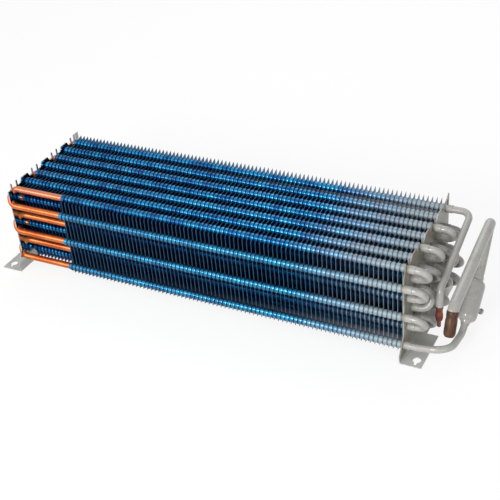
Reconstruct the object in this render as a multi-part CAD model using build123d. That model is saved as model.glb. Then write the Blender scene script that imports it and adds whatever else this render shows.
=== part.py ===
from build123d import *
import math
import os

# Finned evaporator coil: copper hairpin tubes in staggered rows, pressed through aluminium fins
# between two folded end plates, with return bends, a suction accumulator and two service stubs.
# Millimetres. +X runs along the tubes to the connection end, +Y from the front face to the back,
# +Z up. The origin lies midway between the two foot holes, on the underside of the feet.

# Tube pattern: a column's even layers stand on the pitch, its odd layers half a pitch forward
tube_diameter = 9.52
column_pitch = 25.4
layer_pitch = 22.0
last_column = 6
last_layer = 5
bottom_tube_height = 21.0
column_setback = 14.0

# Folded end plates, and the clear length between them
finned_length = 610.6
plate_thickness = 1.5
plate_back_margin = 14.0
plate_top_margin = 2.0
flange_width = 12.0
foot_reach = 28.0
foot_front_margin = 28.0
foot_depth = 71.5
flare_height = 34.0
foot_hole_radius = 5.5
foot_hole_inset = 18.0
foot_slot_width = 4.0
foot_slot_reach = 10.0
foot_cut_depth = 6.0
slot_clearance = 0.3
slot_end_sides = 6
tooth_height = 7.0
tooth_base = 24.0
tooth_tip = 16.0
prong_width = 2.5
prong_height = 9.0
back_tab_height = 14.0
back_tab_depth = 5.0

# Fins
fin_pitch = 6.35
fin_thickness = 0.3
first_fin_offset = 13.0
short_fin_count = 13
last_fin_margin = 0.5
fin_back_margin = 10.0
fin_bottom_margin = 11.0
fin_clearance = 0.25
short_fin_setback = 19.05

# Hairpins and return bends: hairpin_reach is how far the closed ends stand out of the left plate
section_sides = 8
bend_chords = 3
hairpin_reach = 5.5
tube_projection = 10.0
return_bend_straight = 2.5

# Connection pipes: their planes are counted from the right plate's inner face
pipe_sides = 12
pipe_chord_degrees = 22.5
turned_sides = 16

# Inlet pipe, and the strainer stub at its end
inlet_plane = 36.4
inlet_corner_radius = 13.0
inlet_foot_y = 22.0
inlet_foot_drop = 39.5
inlet_elbow_radius = 12.0
inlet_end_drop = 66.0
inlet_neck_radius = 3.2
inlet_neck_length = 5.0
inlet_bulge_radius = 4.9
inlet_bulge_start = 9.0
inlet_bulge_end = 18.0
inlet_tail_radius = 2.6
inlet_tail_start = 22.0
inlet_stub_length = 30.0

# Outlet pipe
outlet_straight = 6.0
outlet_lift = 5.5
outlet_easy_radius = 60.0
outlet_corner_radius = 22.0
outlet_dip_radius = 22.0
outlet_approach = 12.0

# Accumulator, a domed can on a rising axis, and its service stud
accumulator_plane = 60.9
accumulator_front = 59.0
accumulator_front_drop = 106.0
accumulator_slope = 36.0
accumulator_radius = 13.0
accumulator_length = 56.0
accumulator_dome = 8.0
shoulder_radius = 11.0
shoulder_length = 3.0
accumulator_end_radius = 8.3
accumulator_neck_length = 6.0
accumulator_neck_wall = 1.0
screw_distance = 20.0
screw_radius = 2.6
screw_length = 7.5
screw_head_radius = 4.0
screw_head_length = 2.5

# Suction pipe: folded back over itself behind the can, and the bare sleeve at its end
suction_diameter = 14.4
suction_plane = 65.4
suction_start = 10.0
suction_easy_radius = 16.0
suction_fold_radius = 11.0
suction_fold_back_y = 152.0
suction_fold_back_drop = 18.0
suction_fold_front_y = 144.0
suction_fold_front_drop = 3.0
suction_elbow_y = -15.5
suction_elbow_drop = 33.0
suction_elbow_radius = 14.0
suction_end_y = -18.9
suction_end_drop = 40.5
suction_stub_radius = 7.3
suction_stub_chamfer = 2.0
suction_stub_length = 29.0

tube_radius = tube_diameter / 2
front_y = -column_pitch / 2
plate_back_y = last_column * column_pitch + plate_back_margin
top_tube_height = bottom_tube_height + last_layer * layer_pitch
right_plate_outer = finned_length + plate_thickness
left_hole_x = -plate_thickness - foot_hole_inset
right_hole_x = right_plate_outer + foot_hole_inset
middle_x = (left_hole_x + right_hole_x) / 2
tube_end_x = right_plate_outer + tube_projection


def place(x, y, z):
    """A point counted from the left plate's inner face, column 0 and the top tubes."""
    return Vector(x - middle_x, y + column_setback, z + top_tube_height)


def tube_position(column, layer):
    """The y and z of a tube, whose column counts pitches, with halves on the odd layers."""
    return column * column_pitch, -layer * layer_pitch


def arc_points(centre, start, end, turn, chords):
    """Points of an arc about centre that leaves along start and turns towards end."""
    points = []
    for step in range(chords + 1):
        angle = turn * step / chords
        points.append(centre + start * math.cos(angle) + end * math.sin(angle))
    return points


def rounded_route(corners, radii, chord_degrees):
    """Straight runs between corners, with an arc of the given radius in each inner corner."""
    route = [corners[0]]
    for before, corner, after, radius in zip(corners, corners[1:], corners[2:], radii):
        inward = (before - corner).normalized()
        outward = (after - corner).normalized()
        degrees = 180 - inward.get_angle(outward)
        chords = max(1, round(degrees / chord_degrees))
        turn = math.radians(degrees)
        tangent = radius * math.tan(turn / 2)
        centre = corner + (inward + outward).normalized() * (radius / math.cos(turn / 2))
        start = corner + inward * tangent - centre
        route += arc_points(centre, start, inward * -radius, turn, chords)
    return route + [corners[-1]]


def swept_bar(route, radius, sides):
    """A closed bar of regular section along straight runs, mitred where they meet."""
    section = Plane(origin=route[0], z_dir=route[1] - route[0]) * RegularPolygon(radius, sides)
    return sweep(section, path=Polyline(*route), transition=Transition.RIGHT)


def u_bend(first, second, leg_start, bend_start, side):
    """A U of tube between two tube positions, its bend turning to the given side at bend_start."""
    first_y, first_z = tube_position(*first)
    second_y, second_z = tube_position(*second)
    centre = place(bend_start, (first_y + second_y) / 2, (first_z + second_z) / 2)
    across = place(bend_start, first_y, first_z) - centre
    outward = Vector(side * across.length, 0, 0)
    bend = arc_points(centre, across, outward, math.pi, bend_chords)
    route = [place(leg_start, first_y, first_z)] + bend + [place(leg_start, second_y, second_z)]
    return swept_bar(route, tube_radius, section_sides)


def hairpin_pairs():
    """The tube pairs joined at the closed end: three on each even column, two on each odd one."""
    pairs = []
    for column in range(last_column + 1):
        if column % 2 == 0:
            for layer in range(0, last_layer, 2):
                pairs.append(((column, layer), (column - 0.5, layer + 1)))
        else:
            for layer in range(1, last_layer, 2):
                pairs.append(((column - 0.5, layer), (column, layer + 1)))
    return pairs


def return_pairs():
    """The tube pairs joined at the connection end, which chain the hairpins into one circuit."""
    pairs = []
    for column in range(last_column + 1):
        if column % 2 == 0:
            for layer in range(1, last_layer, 2):
                pairs.append(((column - 0.5, layer), (column, layer + 1)))
        else:
            for layer in range(2, last_layer - 1, 2):
                pairs.append(((column, layer), (column - 0.5, layer + 1)))
            pairs.append(((column - 1, 0), (column - 0.5, 1)))
            pairs.append(((column, last_layer - 1), (column + 0.5, last_layer)))
    return pairs


def closed_outline(points, x):
    """A face in the plane of the given x, from y and z pairs."""
    return make_face(Polyline(*[place(x, y, z) for y, z in points], close=True))


def plate_outline():
    """The web's outline: straight back, toothed and pronged top, front edge flaring to the foot."""
    opening = tube_radius + slot_clearance
    top = plate_top_margin
    points = [
        (-foot_front_margin, -top_tube_height + plate_thickness),
        (-foot_front_margin, -top_tube_height + flange_width),
        (front_y, -top_tube_height + flare_height),
        (front_y, top),
    ]
    for column in range(last_column + 1):
        y = tube_position(column, 0)[0]
        if column % 2 == 0:
            points += [
                (y - opening - prong_width, top),
                (y - opening - prong_width, top + prong_height),
                (y - opening, top + prong_height),
                (y - opening, 0),
                (y + opening, 0),
                (y + opening, top + prong_height),
                (y + opening + prong_width, top + prong_height),
                (y + opening + prong_width, top),
            ]
        else:
            points += [
                (y - tooth_base / 2, top),
                (y - tooth_tip / 2, top + tooth_height),
                (y + tooth_tip / 2, top + tooth_height),
                (y + tooth_base / 2, top),
            ]
    points += [
        (plate_back_y - back_tab_depth, top),
        (plate_back_y - back_tab_depth, top + back_tab_height),
        (plate_back_y, top + back_tab_height),
        (plate_back_y, -top_tube_height + plate_thickness),
    ]
    return points


def tube_slot(first, second, x):
    """A long slot with faceted ends, which lets a hairpin's bend pass through the web."""
    first_y, first_z = tube_position(*first)
    second_y, second_z = tube_position(*second)
    along = Vector(0, second_y - first_y, second_z - first_z)
    width = (tube_radius + slot_clearance) * 2
    centre = place(x, (first_y + second_y) / 2, (first_z + second_z) / 2)
    middle = Rectangle(along.length, width)
    end = RegularPolygon(width / 2, slot_end_sides, major_radius=False)
    flat = Plane(origin=centre, x_dir=along.normalized(), z_dir=(1, 0, 0))
    reach = along.length / 2
    return flat * (middle + Pos(-reach, 0) * end + Pos(reach, 0) * end)


def end_plate(web_x, side):
    """A folded sheet plate: web with slots, bottom flange and front foot turned outwards."""
    web = extrude(closed_outline(plate_outline(), web_x), plate_thickness, dir=(1, 0, 0))
    for first, second in hairpin_pairs():
        web -= extrude(tube_slot(first, second, web_x), plate_thickness, dir=(1, 0, 0))
    web = web.solids().sort_by(SortBy.VOLUME)[-1]
    inner_x = web_x if side > 0 else web_x + plate_thickness
    outer_x = inner_x + side * plate_thickness
    foot = [
        (inner_x, -foot_front_margin),
        (outer_x + side * foot_reach, -foot_front_margin),
        (outer_x + side * foot_reach, foot_depth - foot_front_margin),
        (outer_x + side * flange_width, foot_depth - foot_front_margin),
        (outer_x + side * flange_width, plate_back_y),
        (inner_x, plate_back_y),
    ]
    outline = make_face(Polyline(*[place(x, y, -top_tube_height) for x, y in foot], close=True))
    flange = extrude(outline, plate_thickness, dir=(0, 0, 1))
    hole_x = outer_x + side * foot_hole_inset
    hole = Cylinder(foot_hole_radius, foot_cut_depth)
    drop = Pos(0, -foot_slot_reach / 2) * Box(foot_slot_width, foot_slot_reach, foot_cut_depth)
    flange -= Pos(*place(hole_x, -column_setback, -top_tube_height)) * (hole + drop)
    return web + flange


def comb_outline(front, back):
    """A comb between front and its spine at back, slotted at each layer under the top one."""
    half_slot = tube_radius + fin_clearance
    slot_end = last_column * column_pitch + half_slot
    bottom = -last_layer * layer_pitch - fin_bottom_margin
    points = [(front, -half_slot), (back, -half_slot), (back, bottom), (front, bottom)]
    for layer in range(last_layer, 0, -1):
        z = tube_position(0, layer)[1]
        points += [(front, z - half_slot), (slot_end, z - half_slot)]
        points += [(slot_end, z + half_slot), (front, z + half_slot)]
    return points


def fin_stack(outline, first_x, count):
    """Like fins at the fin pitch, as separate thin plates."""
    fin = extrude(closed_outline(outline, first_x), fin_thickness, dir=(1, 0, 0))
    return [Pos(number * fin_pitch, 0, 0) * fin for number in range(count)]


def inlet_route():
    """Corners and bend radii of the inlet pipe, from the last top tube round to its stub."""
    y, z = tube_position(last_column, 0)
    x = finned_length + inlet_plane
    corners = [
        place(tube_end_x, y, z),
        place(x, y, z),
        place(x, inlet_foot_y, -inlet_foot_drop),
        place(x, inlet_foot_y, -inlet_end_drop),
    ]
    return corners, [inlet_corner_radius, inlet_elbow_radius]


def outlet_route():
    """Corners and bend radii of the pipe from the first bottom tube to the accumulator's neck."""
    y, z = tube_position(-0.5, last_layer)
    neck = -accumulator_neck_length
    corners = [
        place(tube_end_x, y, z),
        place(tube_end_x + outlet_straight, y, z),
        place(finned_length + accumulator_plane, y, z + outlet_lift),
        accumulator_point(neck - outlet_approach),
        accumulator_point(neck),
    ]
    return corners, [outlet_easy_radius, outlet_corner_radius, outlet_dip_radius]


def suction_route():
    """Corners and bend radii of the suction pipe, up from the accumulator, folded and forward."""
    back_x = finned_length + accumulator_plane
    front_x = finned_length + suction_plane
    neck = accumulator_length + accumulator_neck_length
    corners = [
        accumulator_point(neck),
        accumulator_point(neck + suction_start),
        place(back_x, suction_fold_back_y, -suction_fold_back_drop),
        place(front_x, suction_fold_front_y, -suction_fold_front_drop),
        place(front_x, suction_elbow_y, -suction_elbow_drop),
        place(front_x, suction_end_y, -suction_end_drop),
    ]
    fold = suction_fold_radius
    return corners, [suction_easy_radius, fold, fold, suction_elbow_radius]


def accumulator_axis():
    """The direction in which the can rises towards the back."""
    slope = math.radians(accumulator_slope)
    return Vector(0, math.cos(slope), math.sin(slope))


def accumulator_point(distance):
    """A point on the accumulator's axis, from its front end."""
    x = finned_length + accumulator_plane
    start = place(x, accumulator_front, -accumulator_front_drop)
    return start + accumulator_axis() * distance


def turned(profile, start, axis):
    """A turned piece along axis, from distance and radius pairs, with flats for its round faces."""
    place_on_axis = Plane(origin=start, z_dir=axis)
    piece = None
    for (low, low_radius), (high, high_radius) in zip(profile, profile[1:]):
        if high > low:
            rings = [
                Pos(0, 0, low) * RegularPolygon(low_radius, turned_sides),
                Pos(0, 0, high) * RegularPolygon(high_radius, turned_sides),
            ]
            length = loft(rings, ruled=True)
            piece = length if piece is None else piece + length
    return place_on_axis * piece


def accumulator():
    """A drawn can, domed and necked at both ends."""
    length = accumulator_length
    neck = accumulator_neck_length
    profile = [
        (-neck, tube_radius + accumulator_neck_wall),
        (0, accumulator_end_radius),
        (shoulder_length, shoulder_radius),
        (accumulator_dome, accumulator_radius),
        (length - accumulator_dome, accumulator_radius),
        (length - shoulder_length, shoulder_radius),
        (length, accumulator_end_radius),
        (length + neck, suction_diameter / 2 + accumulator_neck_wall),
    ]
    return turned(profile, accumulator_point(0), accumulator_axis())


def accumulator_screw():
    """The service stud brazed low on the can's outer side."""
    upward = Vector(1, 0, 0).cross(accumulator_axis())
    outward = (Vector(1, 0, 0) - upward).normalized()
    start = accumulator_point(screw_distance) + outward * accumulator_radius
    profile = [
        (0, screw_radius),
        (screw_length - screw_head_length, screw_radius),
        (screw_length - screw_head_length, screw_head_radius),
        (screw_length, screw_head_radius),
    ]
    return turned(profile, start, outward)


def inlet_stub():
    """The copper stub on the inlet pipe: a necked tube with a swollen strainer body."""
    corners = inlet_route()[0]
    profile = [
        (0, inlet_neck_radius),
        (inlet_neck_length, inlet_neck_radius),
        (inlet_bulge_start, inlet_bulge_radius),
        (inlet_bulge_end, inlet_bulge_radius),
        (inlet_tail_start, inlet_tail_radius),
        (inlet_stub_length, inlet_tail_radius),
    ]
    return turned(profile, corners[-1], corners[-1] - corners[-2])


def suction_stub():
    """The bare copper sleeve that closes the suction pipe, its end crimped round."""
    corners = suction_route()[0]
    profile = [
        (0, suction_stub_radius),
        (suction_stub_length - suction_stub_chamfer, suction_stub_radius),
        (suction_stub_length, suction_stub_radius - suction_stub_chamfer),
    ]
    return turned(profile, corners[-1], corners[-1] - corners[-2])


def swept_pipe(route, diameter):
    """A connection pipe of round section, from its corners and bend radii."""
    corners, radii = route
    return swept_bar(rounded_route(corners, radii, pipe_chord_degrees), diameter / 2, pipe_sides)


def save(name, *shapes):
    solids = [solid for shape in shapes for solid in shape.solids()]
    export_step(Compound(children=solids), f"parts/{name}.step")
    print(name, round(sum(solid.volume for solid in solids)))


os.makedirs("parts", exist_ok=True)

save("left_end_plate", end_plate(-plate_thickness, -1))
save("right_end_plate", end_plate(finned_length, 1))

fin_back_y = last_column * column_pitch + fin_back_margin
short_fin_front = front_y + short_fin_setback
first_full_fin = first_fin_offset + short_fin_count * fin_pitch
full_fin_count = int((finned_length - last_fin_margin - first_full_fin) / fin_pitch) + 1
save("fins_short", *fin_stack(comb_outline(short_fin_front, fin_back_y), first_fin_offset, short_fin_count))
save("fins_full", *fin_stack(comb_outline(front_y, fin_back_y), first_full_fin, full_fin_count))

bend_radius = math.hypot(column_pitch / 2, layer_pitch) / 2
hairpin_tip = -plate_thickness - hairpin_reach
for number, (first, second) in enumerate(hairpin_pairs(), start=1):
    bend_start = hairpin_tip + tube_radius + bend_radius
    save(f"hairpin_{number:02d}", u_bend(first, second, tube_end_x, bend_start, -1))
for number, (first, second) in enumerate(return_pairs(), start=1):
    bend_start = tube_end_x + return_bend_straight
    save(f"return_bend_{number:02d}", u_bend(first, second, tube_end_x, bend_start, 1))

save("inlet_pipe", swept_pipe(inlet_route(), tube_diameter))
save("outlet_pipe", swept_pipe(outlet_route(), tube_diameter))
save("suction_pipe", swept_pipe(suction_route(), suction_diameter))
save("accumulator", accumulator())
save("accumulator_screw", accumulator_screw())
save("inlet_stub", inlet_stub())
save("suction_stub", suction_stub())
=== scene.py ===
import math

import bpy
from mathutils import Matrix, Vector


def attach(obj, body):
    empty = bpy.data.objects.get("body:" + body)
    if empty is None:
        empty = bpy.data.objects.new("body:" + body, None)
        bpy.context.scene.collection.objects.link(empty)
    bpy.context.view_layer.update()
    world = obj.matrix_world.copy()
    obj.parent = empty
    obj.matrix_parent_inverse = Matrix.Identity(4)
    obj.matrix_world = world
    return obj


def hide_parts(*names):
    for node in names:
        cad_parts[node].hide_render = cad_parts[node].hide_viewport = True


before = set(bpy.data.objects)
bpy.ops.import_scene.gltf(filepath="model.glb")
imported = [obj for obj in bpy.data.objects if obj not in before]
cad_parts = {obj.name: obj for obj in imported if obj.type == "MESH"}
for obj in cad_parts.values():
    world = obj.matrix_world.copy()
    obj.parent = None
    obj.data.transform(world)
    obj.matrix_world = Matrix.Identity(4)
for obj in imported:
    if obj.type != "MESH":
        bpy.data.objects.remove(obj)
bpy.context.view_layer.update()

# Studio: a white floor that glows where it is looked at, four soft lamps, and the camera at the
# photograph's viewpoint, which looks down from the front right corner and leans a little.
CAMERA_PLACE = Vector((0.6590, -0.9935, 0.8704))
CAMERA_AIM = Vector((0.1137, -0.0343, 0.1459))
CAMERA_ROLL = math.radians(-5.43)
CAMERA_LENS = 74.78
CAMERA_SENSOR = 36.0
LAMP_AIM = Vector((0.0, 0.0, 0.05))
LAMPS = (
    ("lamp_key", (0.1, -1.7, 0.9), 0.6, 28.0),
    ("lamp_left", (-1.4, -1.5, 0.9), 0.8, 9.0),
    ("lamp_side", (1.6, -0.9, 0.4), 0.9, 4.5),
    ("lamp_back", (-0.2, 1.3, 1.4), 1.2, 8.0),
)
WHITE = (1.0, 1.0, 1.0, 1.0)
WORLD_LIGHT = 0.55
WORLD_SHOWN = 1.0
FLOOR_SIZE = 12.0
FLOOR_DROP = 0.0002
FLOOR_ROUGHNESS = 0.9
FLOOR_GLOW = 0.82
SCENE = bpy.context.scene


class Wire:
    """A socket of a material's tree that takes Python arithmetic."""

    def __init__(self, finish, socket):
        self.finish = finish
        self.socket = socket

    def math(self, operation, *others):
        values = dict(enumerate((self, *others)))
        return self.finish.node("ShaderNodeMath", {"operation": operation}, values)

    def __add__(self, other):
        return self.math("ADD", other)

    def __mul__(self, other):
        return self.math("MULTIPLY", other)

    def __sub__(self, other):
        return self.math("SUBTRACT", other)

    def __rsub__(self, other):
        return self.finish.node("ShaderNodeMath", {"operation": "SUBTRACT"}, {0: other, 1: self})

    def step(self, start, end):
        """0 below start and 1 above end, smooth between them."""
        settings = {"interpolation_type": "SMOOTHSTEP"}
        values = {0: self, 1: start, 2: end, 3: 0.0, 4: 1.0}
        return self.finish.node("ShaderNodeMapRange", settings, values)


class Finish:
    """A material, its node tree and its surface shader."""

    def __init__(self, name):
        self.material = bpy.data.materials.new(name)
        self.material.use_nodes = True
        self.tree = self.material.node_tree
        self.shader = self.tree.nodes["Principled BSDF"]

    def fill(self, socket, value):
        if isinstance(value, Wire):
            self.tree.links.new(value.socket, socket)
        else:
            socket.default_value = value

    def node(self, kind, settings=None, values=None, output=0):
        made = self.tree.nodes.new(kind)
        for name, value in (settings or {}).items():
            setattr(made, name, value)
        for socket, value in (values or {}).items():
            self.fill(made.inputs[socket], value)
        return Wire(self, made.outputs[output])

    def place(self):
        return self.node("ShaderNodeTexCoord", output="Object")

    def split(self, vector):
        parts = self.node("ShaderNodeSeparateXYZ", values={0: vector})
        return [Wire(self, part) for part in parts.socket.node.outputs]

    def facing(self):
        """How far a face looks along the tubes, 1 towards the right and -1 towards the left."""
        return self.split(self.node("ShaderNodeNewGeometry", output="Normal"))[0]

    def noise(self, scale, detail):
        values = {"Vector": self.place(), "Scale": scale, "Detail": detail}
        return self.node("ShaderNodeTexNoise", values=values)

    def mix(self, share, first, second):
        """A colour between two others. A mix node's colours go in at sockets 6 and 7, out at 2."""
        values = {"Factor": share, 6: first, 7: second}
        return self.node("ShaderNodeMix", {"data_type": "RGBA"}, values, output=2)

    def bump(self, height, depth, strength):
        values = {"Height": height, "Distance": depth, "Strength": strength}
        return self.node("ShaderNodeBump", values=values)

    def surface(self, **sockets):
        for name, value in sockets.items():
            self.fill(self.shader.inputs[name.replace("_", " ")], value)
        return self.material


def tone(red, green, blue):
    """A colour as a screen shows it, from 0 to 255, turned into the renderer's linear values."""
    linear = []
    for level in (red, green, blue):
        share = level / 255
        linear.append(share / 12.92 if share <= 0.04045 else ((share + 0.055) / 1.055) ** 2.4)
    return (*linear, 1.0)


def seen_level(tree, hidden, shown):
    """A value that is shown where the camera looks, also by a mirror or through glass, and hidden
    where a surface only takes light from it."""
    path = tree.nodes.new("ShaderNodeLightPath")
    seen = path.outputs["Is Camera Ray"]
    for ray in ("Is Glossy Ray", "Is Transmission Ray"):
        either = tree.nodes.new("ShaderNodeMath")
        either.operation = "MAXIMUM"
        tree.links.new(seen, either.inputs[0])
        tree.links.new(path.outputs[ray], either.inputs[1])
        seen = either.outputs[0]
    level = tree.nodes.new("ShaderNodeMix")
    level.data_type = "FLOAT"
    level.inputs[2].default_value = hidden
    level.inputs[3].default_value = shown
    tree.links.new(seen, level.inputs[0])
    return level.outputs[0]


def turned_to(way, axis):
    """The rotation that points an object's own axis along a way."""
    return way.to_track_quat(axis, "Y")


camera = bpy.data.objects.new("camera", bpy.data.cameras.new("camera"))
SCENE.collection.objects.link(camera)
camera.data.lens = CAMERA_LENS
camera.data.sensor_width = CAMERA_SENSOR
camera.location = CAMERA_PLACE
look = turned_to(CAMERA_AIM - CAMERA_PLACE, "-Z").to_matrix()
camera.rotation_euler = (look @ Matrix.Rotation(CAMERA_ROLL, 3, "Z")).to_euler()
SCENE.camera = camera
SCENE.view_settings.view_transform = "Standard"

world = bpy.data.worlds.new("studio")
SCENE.world = world
world.use_nodes = True
background = world.node_tree.nodes["Background"]
background.inputs["Color"].default_value = WHITE
strength = seen_level(world.node_tree, WORLD_LIGHT, WORLD_SHOWN)
world.node_tree.links.new(strength, background.inputs["Strength"])

for name, place, size, power in LAMPS:
    light = bpy.data.lights.new(name, "AREA")
    light.size = size
    light.energy = power
    lamp = bpy.data.objects.new(name, light)
    lamp.location = place
    lamp.rotation_euler = turned_to(LAMP_AIM - Vector(place), "-Z").to_euler()
    SCENE.collection.objects.link(lamp)

bpy.ops.object.select_all(action="DESELECT")
bpy.ops.mesh.primitive_plane_add(size=FLOOR_SIZE, location=(0, 0, -FLOOR_DROP))
floor = bpy.context.object
floor.name = "floor"
paper = Finish("white_floor")
paper.surface(Base_Color=tone(250, 250, 250), Roughness=FLOOR_ROUGHNESS)
glow = paper.node("ShaderNodeEmission", values={"Color": WHITE, "Strength": 1.0})
glow_share = Wire(paper, seen_level(paper.tree, 0.0, FLOOR_GLOW))
layers = {0: glow_share, 1: Wire(paper, paper.shader.outputs[0]), 2: glow}
glowing = paper.node("ShaderNodeMixShader", values=layers)
paper.fill(paper.tree.nodes["Material Output"].inputs["Surface"], glowing)
floor.data.materials.append(paper.material)

# End plates: folded galvanised sheet with a toothed top edge, a bottom flange and a front foot.
# Prongs stand on both sides of each tube of the even columns. The left plate's inner face is glossy
# and painted teal, a painted reflection of the blue fins, and it stands a little way in over the
# hairpins; the right one caught the grey spray.
MIDDLE_X = 0.3053
COLUMN_SETBACK = 0.014
TOP_TUBE_HEIGHT = 0.131
COLUMN_PITCH = 0.0254
LAYER_PITCH = 0.022
LAST_COLUMN = 6
LAST_LAYER = 5
CLEAR_LENGTH = 0.6106
PLATE_THICKNESS = 0.0015
PLATE_BACK = 0.1664
PLATE_TOP = 0.002
FLANGE_REACH = 0.0135
FOOT_REACH = 0.0295
FOOT_FRONT = 0.028
FOOT_DEPTH = 0.0715
FLARE_TOP = 0.034
FLARE_FOOT = 0.012
TOOTH_HEIGHT = 0.007
TOOTH_HALVES = (0.012, 0.008)
PRONG_HEIGHT = 0.009
PRONG_WIDTH = 0.0025
SLOT_HALF = 0.00506
HOLE_INSET = 0.0195
HOLE_RADIUS = 0.0055
HOLE_STEPS = 24
HOLE_SLOT_HALF = 0.002
HOLE_SLOT_REACH = 0.010
LEFT_INNER = 0.004
LEFT_FRONT = -0.0154
LEFT_TAB_FRONT = 0.154
LEFT_TAB_TOP = 0.012
RIGHT_FRONT = -0.0127
RIGHT_CORNER_DROP = 0.008
RIGHT_TAB_FRONT = 0.149
RIGHT_TAB_TOP = 0.016
MERGE_DISTANCE = 1e-6
SMOOTH_ANGLE = math.radians(40)
SPANGLE_SCALE = 160.0
ZINC_CLOUD = (35.0, 4.0)
ZINC_TONES = (tone(150, 151, 148), tone(192, 193, 190))
FIN_REFLECTION_TONES = (tone(160, 180, 188), tone(188, 202, 208))
SPRAYED_SHEET_TONES = (tone(116, 109, 94), tone(142, 142, 135))
SPRAYED_FOOT_TONE = tone(200, 200, 198)
FOOT_HEIGHTS = (0.002, 0.005)
MIRROR_HEIGHTS = (0.010, 0.026)
TAB_DEPTHS = (0.165, 0.168)
TAB_HEIGHTS = (0.131, 0.134)
RIGHT_SPRAY = 0.8
INNER_FACES = (0.5, 0.9)
SOFT_PATCHES = (0.35, 0.65)
SPRAY_PATCHES = (0.42, 0.6)


def spot(x, y, z):
    """A point given from the left plate's inner face, column 0 and the top tubes."""
    return Vector((x - MIDDLE_X, y + COLUMN_SETBACK, z + TOP_TUBE_HEIGHT))


def tube_spot(x, column, layer):
    """A point on a tube's axis. The odd layers stand at half columns."""
    return spot(x, column * COLUMN_PITCH, -layer * LAYER_PITCH)


def only(*pieces):
    """Selects these pieces alone, the first one active."""
    bpy.ops.object.select_all(action="DESELECT")
    for piece in pieces:
        piece.select_set(True)
    bpy.context.view_layer.objects.active = pieces[0]


def joined(name, pieces):
    """The pieces as one object."""
    only(*pieces)
    bpy.ops.object.join()
    piece = bpy.context.object
    piece.name = name
    return piece


def finish_mesh(piece):
    """Places the mesh for good, turns its faces outwards and smooths it."""
    only(piece)
    bpy.ops.object.transform_apply(location=True, rotation=True, scale=True)
    bpy.ops.object.mode_set(mode="EDIT")
    bpy.ops.mesh.select_all(action="SELECT")
    bpy.ops.mesh.remove_doubles(threshold=MERGE_DISTANCE)
    bpy.ops.mesh.normals_make_consistent(inside=False)
    bpy.ops.object.mode_set(mode="OBJECT")
    bpy.ops.object.shade_smooth_by_angle(angle=SMOOTH_ANGLE)
    return piece


def flat_sheet(name, outlines, place, turn=(0, 0, 0)):
    """Sheet cut to an outline, with its holes as further outlines, made from a flat curve."""
    curve = bpy.data.curves.new(name, "CURVE")
    curve.dimensions = "2D"
    curve.fill_mode = "BOTH"
    curve.extrude = PLATE_THICKNESS / 2
    for outline in outlines:
        line = curve.splines.new("POLY")
        line.points.add(len(outline) - 1)
        line.use_cyclic_u = True
        for point, (along, up) in zip(line.points, outline):
            point.co = (along, up, 0, 1)
    piece = bpy.data.objects.new(name, curve)
    SCENE.collection.objects.link(piece)
    piece.location = place
    piece.rotation_euler = turn
    only(piece)
    bpy.ops.object.convert(target="MESH")
    return finish_mesh(bpy.context.object)


def web_outline(front, corner_drop, tab):
    """The upright sheet: its front edge flares to the foot, and its top is toothed and pronged."""
    low = PLATE_THICKNESS - TOP_TUBE_HEIGHT
    points = [(-FOOT_FRONT, low), (-FOOT_FRONT, FLARE_FOOT - TOP_TUBE_HEIGHT)]
    points += [(front, FLARE_TOP - TOP_TUBE_HEIGHT), (front, PLATE_TOP - corner_drop)]
    prong_out = SLOT_HALF + PRONG_WIDTH
    prong_top = PLATE_TOP + PRONG_HEIGHT
    prongs = [(-prong_out, PLATE_TOP), (-prong_out, prong_top)]
    prongs += [(-SLOT_HALF, prong_top), (-SLOT_HALF, 0)]
    prongs += [(-across, height) for across, height in reversed(prongs)]
    wide, narrow = TOOTH_HALVES
    tooth_top = PLATE_TOP + TOOTH_HEIGHT
    tooth = [(-wide, PLATE_TOP), (-narrow, tooth_top), (narrow, tooth_top), (wide, PLATE_TOP)]
    for column in range(LAST_COLUMN + 1):
        shape = tooth if column % 2 else prongs
        points += [(column * COLUMN_PITCH + across, height) for across, height in shape]
    return points + tab + [(PLATE_BACK, low)]


def keyhole(x, y):
    """The foot's screw hole, a circle with a slot out of its front."""
    start = math.asin(HOLE_SLOT_HALF / HOLE_RADIUS)
    points = []
    for step in range(HOLE_STEPS + 1):
        angle = -math.pi / 2 + start + (2 * math.pi - 2 * start) * step / HOLE_STEPS
        points.append((x + HOLE_RADIUS * math.cos(angle), y + HOLE_RADIUS * math.sin(angle)))
    slot_end = y - HOLE_SLOT_REACH
    return points + [(x - HOLE_SLOT_HALF, slot_end), (x + HOLE_SLOT_HALF, slot_end)]


def end_plate(name, node, inner, limit, side, edge, material):
    """Web and flange of one plate: inner is its web's inner face, limit the face that its foot is
    measured from, and side the way its foot points."""
    web_middle = spot(inner + side * PLATE_THICKNESS / 2, 0, 0)
    web = flat_sheet(name, [web_outline(*edge)], web_middle, (math.pi / 2, 0, math.pi / 2))
    foot_back = FOOT_DEPTH - FOOT_FRONT
    foot = [
        (inner, -FOOT_FRONT),
        (limit + side * FOOT_REACH, -FOOT_FRONT),
        (limit + side * FOOT_REACH, foot_back),
        (limit + side * FLANGE_REACH, foot_back),
        (limit + side * FLANGE_REACH, PLATE_BACK),
        (inner, PLATE_BACK),
    ]
    hole = keyhole(limit + side * HOLE_INSET, -COLUMN_SETBACK)
    flange = flat_sheet(name, [foot, hole], spot(0, 0, PLATE_THICKNESS / 2 - TOP_TUBE_HEIGHT))
    plate = joined(name, [web, flange])
    plate.data.materials.append(material)
    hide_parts(node)
    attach(plate, "root")


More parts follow.
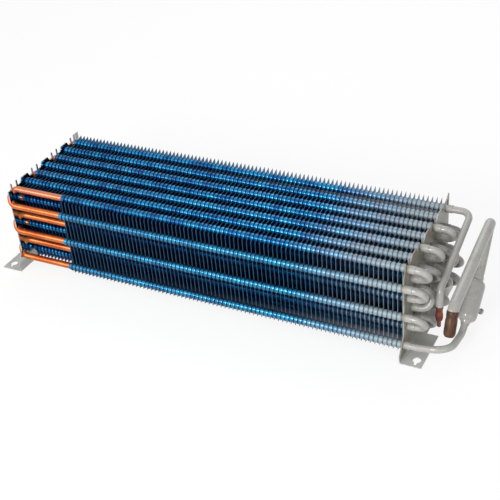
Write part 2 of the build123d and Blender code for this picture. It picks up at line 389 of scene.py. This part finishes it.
def galvanised(name, mirror, spray):
    """Zinc-coated sheet with a soft spangle. Mirror is how far its inner face above the foot is
    glossier and painted teal, a painted reflection of the blue fins, and spray how much grey lies
    on it."""
    metal = Finish(name)
    where = metal.place()
    _, depth, height = metal.split(where)
    cells = {"Vector": where, "Scale": SPANGLE_SCALE}
    spangle = metal.node("ShaderNodeTexVoronoi", values=cells, output="Color")
    grains = metal.split(spangle)[0]
    cloud = metal.noise(*ZINC_CLOUD)
    zinc = metal.mix(grains * 0.35 + cloud * 0.3, *ZINC_TONES)
    tab = depth.step(*TAB_DEPTHS) * height.step(*TAB_HEIGHTS)
    inside = metal.facing().step(*INNER_FACES) * mirror * (1 - tab) * height.step(*MIRROR_HEIGHTS)
    # The teal on the inner face is a painted reflection of the blue fins, not the sheet's own
    # colour.
    painted_fin_reflection = metal.mix(cloud.step(*SOFT_PATCHES), *FIN_REFLECTION_TONES)
    colour = metal.mix(inside, zinc, painted_fin_reflection)
    sprayed = metal.mix(cloud.step(*SPRAY_PATCHES), *SPRAYED_SHEET_TONES)
    sprayed = metal.mix(height.step(*FOOT_HEIGHTS), SPRAYED_FOOT_TONE, sprayed)
    return metal.surface(
        Base_Color=metal.mix(spray, colour, sprayed),
        Metallic=inside * 0.4 + (1 - spray) * 0.6,
        Roughness=grains * 0.06 + 0.38 - inside * 0.3,
        Normal=metal.bump(cloud, 0.0002, 0.3),
    )


left_tab = [(LEFT_TAB_FRONT, PLATE_TOP), (LEFT_TAB_FRONT, LEFT_TAB_TOP), (PLATE_BACK, LEFT_TAB_TOP)]
left_edge = (LEFT_FRONT, 0.0, left_tab)
right_tab = [(RIGHT_TAB_FRONT, PLATE_TOP), (PLATE_BACK, RIGHT_TAB_TOP)]
right_edge = (RIGHT_FRONT, RIGHT_CORNER_DROP, right_tab)
bright_sheet = galvanised("galvanised_left", 1.0, 0.0)
grey_sheet = galvanised("galvanised_right", 0.0, RIGHT_SPRAY)
end_plate("plate_left", "left_end_plate", LEFT_INNER, 0.0, -1, left_edge, bright_sheet)
end_plate("plate_right", "right_end_plate", CLEAR_LENGTH, CLEAR_LENGTH, 1, right_edge, grey_sheet)

# Fins: thin aluminium with a blue coating, pressed on the tubes four to the inch. Each one has a
# bare cut edge, a spike at its back top corner and a drawn collar at every place of the tube
# pattern. The collars stand nearly a pitch long, so that they look like rows of beads.
FIN_PITCH = 0.00635
FIN_THICKNESS = 0.00035
FIRST_FIN = 0.013
SHORT_FINS = 13
FULL_FINS = 82
FIRST_FULL_FIN = FIRST_FIN + SHORT_FINS * FIN_PITCH
FIN_FRONT = -0.0127
SHORT_FRONT = 0.00635
FULL_FIRST_COLUMN = -0.5
SHORT_FIRST_COLUMN = 0.5
SHOWN_COLUMNS = 0.75
FIN_BACK = 0.1624
FIN_BOTTOM = -0.121
FIN_TOP = 0.0012
FIN_CORNER_DROP = 0.005
FIN_SMOOTH_ANGLE = math.radians(50)
SPIKE_FOOT = 0.137
SPIKE_HEIGHT = 0.0092
COLLAR_SIDES = 16
PLAIN_COLLAR_SIDES = 10
COLLAR_LENGTH = 0.0063
COLLAR_EASE = 0.0005
COLLAR_RADIUS = 0.0058
COLLAR_WAIST = 0.0050
COLLAR_ROOT = 0.0064
COLLAR_LIP = 0.0049
SHOWN_COLLAR = (
    (0, COLLAR_ROOT),
    (COLLAR_EASE, COLLAR_WAIST),
    (COLLAR_LENGTH / 2, COLLAR_RADIUS),
    (COLLAR_LENGTH - COLLAR_EASE, COLLAR_WAIST),
    (COLLAR_LENGTH, COLLAR_LIP),
)
PLAIN_COLLAR = ((COLLAR_EASE, COLLAR_RADIUS), (COLLAR_LENGTH, COLLAR_RADIUS))
BLUE_CLOUD = (60.0, 4.0)
BLUE_GRAIN = (330.0, 2.0)
BLUE_PATCHES = (0.3, 0.7)
BLUE_TONES = (tone(8, 74, 130), tone(38, 130, 178))
LIT_FRONT_TONE = tone(66, 156, 186)
LIT_FRONT_SHARE = 0.3
FRONT_DEPTHS = (0.004, 0.010)
FRONT_HEIGHTS = (0.118, 0.124)
FLAT_FACES = (0.8, 0.95)
PAINTED_SHADE_FLAT_TONE = tone(18, 36, 80)
LIT_FRONT_RIM_TONE = tone(76, 80, 94)
RIM_DEPTHS = (0.0018, 0.0050)
LIT_TOP_RIM_TONE = tone(48, 92, 124)
TOP_RIM_HEIGHTS = (TOP_TUBE_HEIGHT - 0.0015, TOP_TUBE_HEIGHT + 0.0005)
EDGE_TONES = (tone(84, 90, 104), tone(184, 184, 174))
SPRAY_TONE = tone(146, 155, 156)
SPRAY_SHARE = 0.85
FLAT_SPRAY_LOSS = 0.6
SPRAY_CLOUD = (18.0, 4.0)
SPRAY_WAVER = 0.08
SPRAY_START = 0.13
COAT_SPRAY_END = 0.31
EDGE_SPRAY_END = 0.28
SPRAY_TOP = (TOP_TUBE_HEIGHT - 0.016, TOP_TUBE_HEIGHT + 0.002)
SPRAY_FRONT = (COLUMN_SETBACK - 0.012, COLUMN_SETBACK + 0.002)


def copy_at(piece, offset):
    """A copy with its own mesh, moved by offset."""
    copy = piece.copy()
    copy.data = piece.data.copy()
    copy.data.transform(Matrix.Translation(offset))
    SCENE.collection.objects.link(copy)
    return copy


def select_faces(piece, wanted):
    """In edit mode, selects the faces that the test wants and no others."""
    bpy.ops.mesh.select_all(action="DESELECT")
    bpy.ops.object.mode_set(mode="OBJECT")
    for face in piece.data.polygons:
        face.select = wanted(face)
    bpy.ops.object.mode_set(mode="EDIT")


def fin_sheet(front):
    """One flat fin at the first fin's place: cut to its outline, then given its thickness."""
    middle = (spot(FIRST_FIN, front, FIN_BOTTOM) + spot(FIRST_FIN, FIN_BACK, SPIKE_HEIGHT)) / 2
    bpy.ops.object.select_all(action="DESELECT")
    bpy.ops.mesh.primitive_plane_add(size=1, location=middle, rotation=(0, math.pi / 2, 0))
    sheet = bpy.context.object
    sheet.scale = (SPIKE_HEIGHT - FIN_BOTTOM, FIN_BACK - front, 1)
    bpy.ops.object.transform_apply(location=True, rotation=True, scale=True)
    bpy.ops.object.mode_set(mode="EDIT")
    bpy.ops.mesh.select_all(action="SELECT")
    foot = spot(FIRST_FIN, SPIKE_FOOT, FIN_TOP)
    bpy.ops.mesh.bisect(plane_co=foot, plane_no=(0, 1, 0))
    select_faces(sheet, lambda face: face.center.y > foot.y)
    bpy.ops.mesh.split()
    spike_slope = (0, FIN_TOP - SPIKE_HEIGHT, FIN_BACK - SPIKE_FOOT)
    bpy.ops.mesh.bisect(plane_co=foot, plane_no=spike_slope, clear_outer=True)
    select_faces(sheet, lambda face: face.center.y < foot.y)
    top = spot(FIRST_FIN, 0, FIN_TOP)
    bpy.ops.mesh.bisect(plane_co=top, plane_no=(0, 0, 1), clear_outer=True)
    if front < 0:
        select_faces(sheet, lambda face: face.center.y < foot.y)
        corner_slope = (0, -FIN_CORNER_DROP, -front)
        bpy.ops.mesh.bisect(plane_co=top, plane_no=corner_slope, clear_outer=True)
    bpy.ops.mesh.select_all(action="SELECT")
    bpy.ops.mesh.remove_doubles(threshold=MERGE_DISTANCE)
    bpy.ops.object.mode_set(mode="OBJECT")
    wall = sheet.modifiers.new("thickness", "SOLIDIFY")
    wall.thickness = FIN_THICKNESS
    wall.offset = 0
    wall.material_offset_rim = 1
    only(sheet)
    bpy.ops.object.modifier_apply(modifier=wall.name)
    return sheet


def collar(sides, rings):
    """A collar drawn from the fin towards the left plate, through rings that each have a distance
    along it and a radius."""
    bpy.ops.object.select_all(action="DESELECT")
    bpy.ops.mesh.primitive_circle_add(
        vertices=sides,
        radius=rings[0][1],
        location=spot(FIRST_FIN, 0, 0),
        rotation=(0, math.pi / 2, 0),
    )
    piece = bpy.context.object
    bpy.ops.object.mode_set(mode="EDIT")
    bpy.ops.mesh.select_all(action="SELECT")
    for (low, low_radius), (high, high_radius) in zip(rings, rings[1:]):
        bpy.ops.mesh.extrude_region_move(TRANSFORM_OT_translate={"value": (low - high, 0, 0)})
        share = high_radius / low_radius
        centre = spot(FIRST_FIN - high, 0, 0)
        bpy.ops.transform.resize(value=(1, share, share), center_override=centre)
    bpy.ops.object.mode_set(mode="OBJECT")
    bpy.ops.object.transform_apply(location=True, rotation=True, scale=True)
    return piece


def collar_spots(first_column):
    """Every place of the pattern on a fin that starts at this column, and whether it shows."""
    spots = []
    for layer in range(LAST_LAYER + 1):
        for step in range(LAST_COLUMN + 1):
            column = step - 0.5 if layer % 2 else step
            if column >= first_column:
                shows = layer == 0 or column < first_column + SHOWN_COLUMNS
                spots.append((column, layer, shows))
    return spots


def fin_pack(name, node, front, first_column, first_x, count, coating, cut):
    """A run of fins with their collars, from one fin repeated at the pitch."""
    shown = collar(COLLAR_SIDES, SHOWN_COLLAR)
    plain = collar(PLAIN_COLLAR_SIDES, PLAIN_COLLAR)
    pieces = [fin_sheet(front)]
    for column, layer, shows in collar_spots(first_column):
        offset = (0, column * COLUMN_PITCH, -layer * LAYER_PITCH)
        pieces.append(copy_at(shown if shows else plain, offset))
    for used in (shown, plain):
        bpy.data.objects.remove(used)
    fin = joined(name, pieces)
    fin.data.materials.clear()
    fin.data.materials.append(coating)
    fin.data.materials.append(cut)
    fin.data.transform(Matrix.Translation((first_x - FIRST_FIN, 0, 0)))
    only(fin)
    bpy.ops.object.shade_smooth_by_angle(angle=FIN_SMOOTH_ANGLE)
    repeat = fin.modifiers.new("run", "ARRAY")
    repeat.count = count
    repeat.use_relative_offset = False
    repeat.use_constant_offset = True
    repeat.constant_offset_displace = (FIN_PITCH, 0, 0)
    bpy.ops.object.modifier_apply(modifier=repeat.name)
    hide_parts(node)
    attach(fin, "root")


def overspray(finish, end):
    """How much grey spray lies on the coil: none on the left, dense towards the right plate, and
    only on what faces out at the top and the front, since the gaps between the fins stay clean."""
    across, depth, height = finish.split(finish.place())
    waver = finish.noise(*SPRAY_CLOUD) * SPRAY_WAVER
    towards = (across + waver - SPRAY_WAVER / 2).step(SPRAY_START, end)
    front = 1 - depth.step(*SPRAY_FRONT)
    return towards * height.step(*SPRAY_TOP).math("MAXIMUM", front)


def blue_coating():
    """Blue lacquer on aluminium with the grey spray over it, and painted light and shade: bright
    collars, brighter cyan on the front collars for the light on them, and dark navy on the flat
    faces for the shade between the fins, paler at the front edge and the top, where light gets in."""
    coat = Finish("blue_fin_coating")
    _, depth, height = coat.split(coat.place())
    blue = coat.mix(coat.noise(*BLUE_CLOUD).step(*BLUE_PATCHES), *BLUE_TONES)
    # Painted light: the collars of the front face are painted a brighter cyan for the light falling
    # on them.
    front = (1 - depth.step(*FRONT_DEPTHS)) * (1 - height.step(*FRONT_HEIGHTS))
    blue = coat.mix(front * LIT_FRONT_SHARE, blue, LIT_FRONT_TONE)
    # Painted shade: the flat faces between the fins are painted dark navy for the shade in the
    # gaps, paler near the front edge and the top where light gets in. The pale grey front strip
    # also stands for the bare cut edge, drawn wider.
    flat = coat.facing().math("ABSOLUTE").step(*FLAT_FACES)
    rim = 1 - depth.step(*RIM_DEPTHS)
    sheet = coat.mix(rim, PAINTED_SHADE_FLAT_TONE, LIT_FRONT_RIM_TONE)
    sheet = coat.mix(height.step(*TOP_RIM_HEIGHTS), sheet, LIT_TOP_RIM_TONE)
    blue = coat.mix(flat, blue, sheet)
    spray = overspray(coat, COAT_SPRAY_END) * (1 - flat * FLAT_SPRAY_LOSS)
    return coat.surface(
        Base_Color=coat.mix(spray * SPRAY_SHARE, blue, SPRAY_TONE),
        Metallic=(0.8 - spray * 0.6) * (1 - flat * rim * 0.75),
        Roughness=spray * 0.3 + 0.27,
        Normal=coat.bump(coat.noise(*BLUE_GRAIN), 0.0003, 0.5),
    )


def cut_edge():
    """The bare aluminium of a fin's cut edge."""
    metal = Finish("fin_cut_edge")
    bare = metal.mix(overspray(metal, EDGE_SPRAY_END), *EDGE_TONES)
    return metal.surface(Base_Color=bare, Metallic=0.4, Roughness=0.45)


blue = blue_coating()
edge = cut_edge()
for name, node, front, first_column, first_x, count in (
    ("short_fin_run", "fins_short", SHORT_FRONT, SHORT_FIRST_COLUMN, FIRST_FIN, SHORT_FINS),
    ("full_fin_run", "fins_full", FIN_FRONT, FULL_FIRST_COLUMN, FIRST_FULL_FIN, FULL_FINS),
):
    fin_pack(name, node, front, first_column, first_x, count, blue, edge)

# Hairpins: soft copper tube bent once at the left end and swollen to a bell at the right one,
# where the return bends go in. The notch in the fins leaves the front ones bare, and past the
# right plate they carry the grey spray.
TUBE_RADIUS = 0.00476
TUBE_SIDES = 20
BEND_STEPS = 16
HAIRPIN_REACH = 0.0055
TUBE_PROJECTION = 0.010
BELL_LENGTH = 0.009
BELL_TAPER = 0.0015
BELL_RADIUS = 0.0055
BEND_RADIUS = math.hypot(COLUMN_PITCH / 2, LAYER_PITCH) / 2
TUBE_END = CLEAR_LENGTH + PLATE_THICKNESS + TUBE_PROJECTION
COPPER_CLOUD = (25.0, 3.0)
COPPER_GRAIN = (160.0, 3.0)
COPPER_TONES = (tone(182, 84, 34), tone(206, 114, 62))
SHEEN_COPPER_TONE = tone(206, 130, 104)
SHEEN_COPPER_SHARE = 0.6
SHEEN_COPPER_HEIGHTS = (TOP_TUBE_HEIGHT - 0.008, TOP_TUBE_HEIGHT - 0.004)
SPRAYED_COPPER_TONES = (tone(152, 151, 146), tone(134, 124, 108))
RIGHT_PLATE_X = CLEAR_LENGTH - MIDDLE_X
COPPER_WAVER = 0.008
COPPER_SPRAY = (RIGHT_PLATE_X - 0.006, RIGHT_PLATE_X - 0.001)
BROWN_REACH = (RIGHT_PLATE_X + 0.002, RIGHT_PLATE_X + 0.006)
BROWN_PATCHES = (0.45, 0.6)


def open_ring(name, centre, direction, radius, sides):
    """A ring of vertices in edit mode, all selected, ready to be extruded into a tube."""
    bpy.ops.object.select_all(action="DESELECT")
    turn = turned_to(direction, "Z").to_euler()
    bpy.ops.mesh.primitive_circle_add(
        vertices=sides, radius=radius, location=centre, rotation=turn
    )
    piece = bpy.context.object
    piece.name = name
    bpy.ops.object.transform_apply(location=True, rotation=True, scale=True)
    bpy.ops.object.mode_set(mode="EDIT")
    bpy.ops.mesh.select_all(action="SELECT")
    return piece


def run(offset):
    """Extrudes the open end of a tube straight on."""
    bpy.ops.mesh.extrude_region_move(TRANSFORM_OT_translate={"value": offset})


def swell(centre, share):
    """Scales the open end of a tube about its centre."""
    bpy.ops.transform.resize(value=(share, share, share), center_override=centre)


def closed_tube(piece):
    """Caps both ends of a tube and finishes it."""
    bpy.ops.mesh.select_non_manifold(extend=False)
    bpy.ops.mesh.fill_holes(sides=0)
    bpy.ops.object.mode_set(mode="OBJECT")
    return finish_mesh(piece)


def u_bend(name, first, second, side, legs):
    """A tube that leaves the hairpins' open ends along legs, turns back half a circle and returns.
    Each leg step is how far it goes and the radius it then has."""
    start = tube_spot(TUBE_END, *first)
    across = tube_spot(TUBE_END, *second) - start
    way = Vector((side, 0, 0))
    radius = legs[0][1]
    piece = open_ring(name, start, way, radius, TUBE_SIDES)
    here = start.copy()
    for length, next_radius in legs[1:]:
        here += way * length
        run(way * length)
        swell(here, next_radius / radius)
        radius = next_radius
    axis = across.cross(way).normalized()
    bpy.ops.mesh.spin(steps=BEND_STEPS, angle=math.pi, center=here + across / 2, axis=axis)
    here += across
    for (length, _), (_, next_radius) in zip(reversed(legs[1:]), reversed(legs[:-1])):
        here -= way * length
        run(-way * length)
        swell(here, next_radius / radius)
        radius = next_radius
    return closed_tube(piece)


def hairpin_pairs():
    """The tube pairs joined at the left end: three on each even column, two on each odd one."""
    pairs = []
    for column in range(LAST_COLUMN + 1):
        if column % 2 == 0:
            for layer in range(0, LAST_LAYER, 2):
                pairs.append(((column, layer), (column - 0.5, layer + 1)))
        else:
            for layer in range(1, LAST_LAYER, 2):
                pairs.append(((column - 0.5, layer), (column, layer + 1)))
    return pairs


def copper():
    """Drawn copper tube, a little tarnished, with a painted pinkish sheen on the top tubes for the
    light from above, the grey spray past the last fin and brown patches where it leaves the right
    plate."""
    metal = Finish("copper_tube")
    across, _, height = metal.split(metal.place())
    cloud = metal.noise(*COPPER_CLOUD)
    fine = metal.noise(*COPPER_GRAIN)
    tube = metal.mix(cloud.step(*SOFT_PATCHES), *COPPER_TONES)
    # Painted sheen: the top tubes are painted paler and pinker for the light falling on them from
    # above.
    top = height.step(*SHEEN_COPPER_HEIGHTS) * SHEEN_COPPER_SHARE
    tube = metal.mix(top, tube, SHEEN_COPPER_TONE)
    spray = (across + cloud * COPPER_WAVER - COPPER_WAVER / 2).step(*COPPER_SPRAY)
    # Browner in patches on the first few millimetres of tube past the right plate.
    brown_near_plate = (1 - across.step(*BROWN_REACH)) * cloud.step(*BROWN_PATCHES)
    return metal.surface(
        Base_Color=metal.mix(spray, tube, metal.mix(brown_near_plate, *SPRAYED_COPPER_TONES)),
        Metallic=0.78 - spray * 0.73,
        Roughness=fine * 0.06 + spray * 0.2 + 0.16,
        Normal=metal.bump(fine, 0.0001, 0.25),
    )


copper_tube = copper()
bend_x = -PLATE_THICKNESS - HAIRPIN_REACH + TUBE_RADIUS + BEND_RADIUS
hairpin_legs = (
    (0, BELL_RADIUS),
    (BELL_LENGTH, BELL_RADIUS),
    (BELL_TAPER, TUBE_RADIUS),
    (TUBE_END - bend_x - BELL_LENGTH - BELL_TAPER, TUBE_RADIUS),
)
for number, (first, second) in enumerate(hairpin_pairs(), start=1):
    node = f"hairpin_{number:02d}"
    tube = u_bend(f"tube_{node}", first, second, -1, hairpin_legs)
    tube.data.materials.append(copper_tube)
    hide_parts(node)
    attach(tube, "root")

# Return bends: short copper U bends brazed into the bells, which join the hairpins into one
# circuit. Each has a ring of braze at its mouths, and all are sprayed grey.
BEND_STRAIGHT = 0.0025
BRAZE_LENGTH = 0.0012
BRAZE_RADIUS = 0.0058
PAINT_CLOUD = (42.0, 4.0)
PAINT_GRAIN = (400.0, 2.0)
PAINT_PATCHES = (0.26, 0.42)
PAINT_TONES = (tone(140, 136, 126), tone(150, 149, 145))
PEEL_PATCHES = (0.4, 0.7)
PEEL_TONE = tone(166, 166, 164)
PEEL_SHARE = 0.4


def return_pairs():
    """The tube pairs joined at the right end, which chain the hairpins into one circuit."""
    pairs = []
    for column in range(LAST_COLUMN + 1):
        if column % 2 == 0:
            for layer in range(1, LAST_LAYER, 2):
                pairs.append(((column - 0.5, layer), (column, layer + 1)))
        else:
            for layer in range(2, LAST_LAYER - 1, 2):
                pairs.append(((column, layer), (column - 0.5, layer + 1)))
            pairs.append(((column - 1, 0), (column - 0.5, 1)))
            pairs.append(((column, LAST_LAYER - 1), (column + 0.5, LAST_LAYER)))
    return pairs


def grey_paint():
    """Light grey spray over copper, with orange peel and thin brownish patches."""
    paint = Finish("grey_paint")
    cloud = paint.noise(*PAINT_CLOUD)
    fine = paint.noise(*PAINT_GRAIN)
    colour = paint.mix(cloud.step(*PAINT_PATCHES), *PAINT_TONES)
    colour = paint.mix(fine.step(*PEEL_PATCHES) * PEEL_SHARE, colour, PEEL_TONE)
    return paint.surface(
        Base_Color=colour,
        Roughness=cloud * 0.1 + 0.26,
        Coat_Weight=0.35,
        Normal=paint.bump(fine, 0.0002, 0.3),
    )


grey = grey_paint()
bend_legs = (
    (0, BRAZE_RADIUS),
    (BRAZE_LENGTH / 2, BRAZE_RADIUS),
    (BRAZE_LENGTH / 2, TUBE_RADIUS),
    (BEND_STRAIGHT - BRAZE_LENGTH, TUBE_RADIUS),
)
for number, (first, second) in enumerate(return_pairs(), start=1):
    node = f"return_bend_{number:02d}"
    bend = u_bend(f"tube_{node}", first, second, 1, bend_legs)
    bend.data.materials.append(grey)
    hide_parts(node)
    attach(bend, "root")

# Connection pipes: the inlet from the last top tube, the outlet from the first bottom tube to the
# accumulator, and the thick suction pipe from there up and forward. All are bent copper tube,
# sprayed grey.
PIPE_SIDES = 28
PIPE_STEP_DEGREES = 7
INLET_X = CLEAR_LENGTH + 0.0364
INLET_FOOT_Y = 0.022
INLET_FOOT_DROP = 0.0395
INLET_END_DROP = 0.066
INLET_BENDS = (0.013, 0.012)
OUTLET_Y = -0.5 * COLUMN_PITCH
OUTLET_Z = -LAST_LAYER * LAYER_PITCH
OUTLET_STRAIGHT = 0.006
OUTLET_LIFT = 0.0055
OUTLET_APPROACH = 0.012
OUTLET_BENDS = (0.060, 0.022, 0.022)
CAN_X = CLEAR_LENGTH + 0.0609
CAN_FRONT = 0.059
CAN_DROP = 0.106
CAN_LENGTH = 0.056
CAN_SLOPE = math.radians(36)
CAN_AXIS = Vector((0, math.cos(CAN_SLOPE), math.sin(CAN_SLOPE)))
NECK_LENGTH = 0.006
SUCTION_X = CLEAR_LENGTH + 0.0654
SUCTION_RADIUS = 0.0072
SUCTION_START = 0.010
SUCTION_BACK = (0.152, -0.018)
SUCTION_FOLD = (0.144, -0.003)
SUCTION_ELBOW = (-0.0155, -0.033)
SUCTION_END = (-0.0189, -0.0405)
SUCTION_BENDS = (0.016, 0.011, 0.011, 0.014)


def can_spot(distance):
    """A point on the accumulator's axis, from its front shoulder."""
    return spot(CAN_X, CAN_FRONT, -CAN_DROP) + CAN_AXIS * distance


def bent_pipe(name, corners, bends, radius):
    """A tube along straight runs, spun round each corner at its bend radius."""
    way = (corners[1] - corners[0]).normalized()
    piece = open_ring(name, corners[0], way, radius, PIPE_SIDES)
    here = corners[0].copy()
    for before, corner, after, bend in zip(corners, corners[1:], corners[2:], bends):
        way = (corner - before).normalized()
        onward = (after - corner).normalized()
        turn = way.angle(onward)
        tangent = corner - way * bend * math.tan(turn / 2)
        run(tangent - here)
        axis = onward.cross(way).normalized()
        centre = tangent + way.cross(axis) * bend
        steps = max(2, round(math.degrees(turn) / PIPE_STEP_DEGREES))
        bpy.ops.mesh.spin(steps=steps, angle=turn, center=centre, axis=axis)
        here = corner + onward * bend * math.tan(turn / 2)
    run(corners[-1] - here)
    return closed_tube(piece)


inlet_corners = [
    tube_spot(TUBE_END, LAST_COLUMN, 0),
    tube_spot(INLET_X, LAST_COLUMN, 0),
    spot(INLET_X, INLET_FOOT_Y, -INLET_FOOT_DROP),
    spot(INLET_X, INLET_FOOT_Y, -INLET_END_DROP),
]
outlet_corners = [
    spot(TUBE_END, OUTLET_Y, OUTLET_Z),
    spot(TUBE_END + OUTLET_STRAIGHT, OUTLET_Y, OUTLET_Z),
    spot(CAN_X, OUTLET_Y, OUTLET_Z + OUTLET_LIFT),
    can_spot(-NECK_LENGTH - OUTLET_APPROACH),
    can_spot(-NECK_LENGTH),
]
suction_corners = [
    can_spot(CAN_LENGTH + NECK_LENGTH),
    can_spot(CAN_LENGTH + NECK_LENGTH + SUCTION_START),
    spot(CAN_X, *SUCTION_BACK),
    spot(SUCTION_X, *SUCTION_FOLD),
    spot(SUCTION_X, *SUCTION_ELBOW),
    spot(SUCTION_X, *SUCTION_END),
]
for name, node, corners, bends, radius in (
    ("pipe_inlet", "inlet_pipe", inlet_corners, INLET_BENDS, TUBE_RADIUS),
    ("pipe_outlet", "outlet_pipe", outlet_corners, OUTLET_BENDS, TUBE_RADIUS),
    ("pipe_suction", "suction_pipe", suction_corners, SUCTION_BENDS, SUCTION_RADIUS),
):
    pipe = bent_pipe(name, corners, bends, radius)
    pipe.data.materials.append(grey)
    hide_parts(node)
    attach(pipe, "root")

# Accumulator, its stud and the two stubs: turned shapes. The can is drawn copper with domed ends,
# the inlet stub is a closed strainer and the suction stub a sleeve with a crimped end. A profile
# gives distances along the axis and the radius at each.
CAN_RADIUS = 0.013
CAN_DOME = 0.008
CAN_DOME_STEPS = 7
CAN_END_RADIUS = 0.0083
NECK_WALL = 0.001
NECK_SWELL = 1.4
STUD_DISTANCE = 0.020
STUD_SEAT = 0.0005
STUD_LENGTH = 0.0075
STUD_RADIUS = 0.0026
STUD_HEAD = STUD_LENGTH - 0.0025
STUD_HEAD_RADIUS = 0.0040
STUD_EDGE_RADIUS = 0.0036
STUD_PROFILE = (
    (0, STUD_EDGE_RADIUS),
    (0.0018, STUD_RADIUS),
    (STUD_HEAD, STUD_RADIUS),
    (STUD_HEAD + 0.0001, STUD_HEAD_RADIUS),
    (STUD_LENGTH, STUD_HEAD_RADIUS),
    (STUD_LENGTH + 0.0004, STUD_EDGE_RADIUS),
)
STRAINER_PROFILE = (
    (-0.003, 0.0048),
    (-0.0028, 0.0050),
    (0.0005, 0.0050),
    (0.0015, 0.0044),
    (0.007, 0.0043),
    (0.010, 0.0050),
    (0.016, 0.0050),
    (0.019, 0.0042),
    (0.021, 0.0026),
    (0.0290, 0.0026),
    (0.0295, 0.0022),
)
SLEEVE_PROFILE = (
    (-0.005, 0.0072),
    (-0.0045, 0.0075),
    (0.001, 0.0075),
    (0.002, 0.0072),
    (0.005, 0.0072),
    (0.007, 0.0076),
    (0.023, 0.0076),
    (0.026, 0.0068),
    (0.028, 0.0054),
)
TURNED_STEPS = 40
DARK_CLOUD = (90.0, 4.0)
RED_COPPER_TONES = (tone(98, 50, 38), tone(132, 72, 56))
BROWN_COPPER_TONES = (tone(52, 34, 22), tone(86, 56, 36))


def turned(name, start, axis, profile, material, node):
    """Turns a profile of distance and radius pairs about an axis, ring by ring."""
    first, radius = profile[0]
    piece = open_ring(name, start + axis * first, axis, radius, TURNED_STEPS)
    for (low, _), (high, next_radius) in zip(profile, profile[1:]):
        run(axis * (high - low))
        swell(start + axis * high, next_radius / radius)
        radius = next_radius
    closed_tube(piece)
    piece.data.materials.append(material)
    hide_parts(node)
    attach(piece, "root")


def can_shoulder():
    """The domed end, from the neck out to the can's full radius, as part of an ellipse."""
    rings = []
    for step in range(CAN_DOME_STEPS + 1):
        angle = math.pi / 2 * step / CAN_DOME_STEPS
        radius = CAN_END_RADIUS + (CAN_RADIUS - CAN_END_RADIUS) * math.sin(angle)
        rings.append((CAN_DOME - CAN_DOME * math.cos(angle), radius))
    return rings


def dark_copper(name, tones):
    """Heat-darkened copper."""
    metal = Finish(name)
    cloud = metal.noise(*DARK_CLOUD)
    return metal.surface(
        Base_Color=metal.mix(cloud.step(*SOFT_PATCHES), *tones),
        Metallic=0.55,
        Roughness=cloud * 0.2 + 0.38,
        Normal=metal.bump(cloud, 0.0003, 0.3),
    )


near_end = can_shoulder()
neck_radius = TUBE_RADIUS + NECK_WALL
swollen_radius = TUBE_RADIUS + NECK_WALL * NECK_SWELL
can_profile = [(-NECK_LENGTH, neck_radius), (-NECK_LENGTH / 2, swollen_radius)] + near_end
can_profile += [(CAN_LENGTH - distance, radius) for distance, radius in reversed(near_end)]
can_profile.append((CAN_LENGTH + NECK_LENGTH, SUCTION_RADIUS + NECK_WALL))

along_tubes = Vector((1, 0, 0))
outward = (along_tubes - along_tubes.cross(CAN_AXIS)).normalized()
stud_foot = can_spot(STUD_DISTANCE) + outward * (CAN_RADIUS - STUD_SEAT)
inlet_end = inlet_corners[-1]
inlet_way = (inlet_end - inlet_corners[-2]).normalized()
sleeve_end = suction_corners[-1]
sleeve_way = (sleeve_end - suction_corners[-2]).normalized()
red = dark_copper("copper_red_brown", RED_COPPER_TONES)
brown = dark_copper("copper_dark_brown", BROWN_COPPER_TONES)
for name, start, axis, profile, material, node, slot in (
    ("can_accumulator", can_spot(0), CAN_AXIS, can_profile, grey, "accumulator", "grey_paint"),
    ("stud_accumulator", stud_foot, outward, STUD_PROFILE, grey, "accumulator_screw", "grey_paint"),
    ("stub_inlet", inlet_end, inlet_way, STRAINER_PROFILE, red, "inlet_stub", "dark_copper"),
    ("stub_suction", sleeve_end, sleeve_way, SLEEVE_PROFILE, brown, "suction_stub", "dark_copper"),
):
    turned(name, start, axis, profile, material, node)
